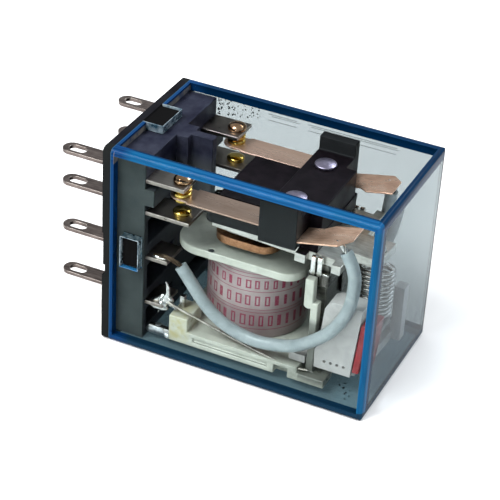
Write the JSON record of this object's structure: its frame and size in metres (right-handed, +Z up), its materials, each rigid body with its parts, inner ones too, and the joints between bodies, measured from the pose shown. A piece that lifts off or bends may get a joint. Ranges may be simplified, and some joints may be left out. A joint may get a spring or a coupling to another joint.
{
  "type": "plug-in relay",
  "caption": "Plug-in power relay with a clear bluish case, black base, flat plug blades, and a coil, hinged armature and changeover contacts visible inside.",
  "frame": {"origin": "middle of the base's socket face, between the two columns of blades", "axes": "+X along the plug axis, from the base to the closed end of the case; +Y across the poles, from the pictured side to the far side; +Z up as in a socket on a vertical panel, with the normally-closed blades highest"},
  "size_m": [0.0434, 0.0216, 0.028],
  "materials": {
    "clear_case": "clear polycarbonate with a blue tint that shows in its edges",
    "black_base": "moulded black phenolic",
    "tinned_blade": "dull tinned copper alloy",
    "contact_alloy": "gold-flashed silver alloy",
    "copper_spring": "rolled copper alloy",
    "lead_sleeve": "pale blue-white sleeve over stranded copper",
    "solder": "tinned wire and solder",
    "yoke_steel": "plated mild steel",
    "core_iron": "plated soft iron",
    "copper_ring": "copper shading ring",
    "bobbin_nylon": "pale translucent nylon",
    "magnet_wire": "enamelled copper wire",
    "coil_tape": "pink-white coil tape with red rules",
    "bright_steel": "bright spring steel",
    "armature_steel": "plated soft iron",
    "card_black": "black phenolic moulding",
    "rivet_silver": "formed aluminium rivet",
    "spring_steel": "drawn spring wire",
    "white_plastic": "white nylon",
    "red_lens": "red translucent plastic",
    "resistor_body": "lacquered ceramic"
  },
  "bodies": {
    "relay": {"case": "clear_case", "base": "black_base", "terminal_nc_front": "tinned_blade", "terminal_nc_back": "tinned_blade", "terminal_no_front": "tinned_blade", "terminal_no_back": "tinned_blade", "terminal_com_front": "tinned_blade", "terminal_com_back": "tinned_blade", "terminal_coil_front": "tinned_blade", "terminal_coil_back": "tinned_blade", "contact_nc_front": "contact_alloy", "contact_nc_back": "contact_alloy", "contact_no_front": "contact_alloy", "contact_no_back": "contact_alloy", "yoke": "yoke_steel", "core": "core_iron", "shading_ring": "copper_ring", "bobbin": "bobbin_nylon", "coil_winding": "magnet_wire", "coil_tape": "coil_tape", "coil_pins": "solder", "hinge_clip": "bright_steel", "return_spring": "spring_steel", "flexible_lead_front": "lead_sleeve", "flexible_lead_back": "lead_sleeve", "lead_joint_front": "solder", "lead_joint_back": "solder", "coil_joint_front": "solder", "indicator_holder": "white_plastic", "indicator_lens": "red_lens", "indicator_wire": "solder", "resistor": "resistor_body"},
    "armature": {"armature": "armature_steel", "contact_card": "card_black", "card_rivet_front": "rivet_silver", "card_rivet_back": "rivet_silver", "moving_spring_front": "copper_spring", "moving_spring_back": "copper_spring", "moving_contact_front": "contact_alloy", "moving_contact_back": "contact_alloy"}
  },
  "joints": [
    {"name": "armature_hinge", "type": "hinge", "parent": "relay", "child": "armature", "pos_m": [0.0275, 0, 0.00355], "axis": [0, -1, 0], "range_deg": [0, 3], "stiffness_Nm_per_rad": 0.02, "springref_deg": -8.59, "deforming": ["return_spring", "flexible_lead_front", "flexible_lead_back"]}
  ]
}
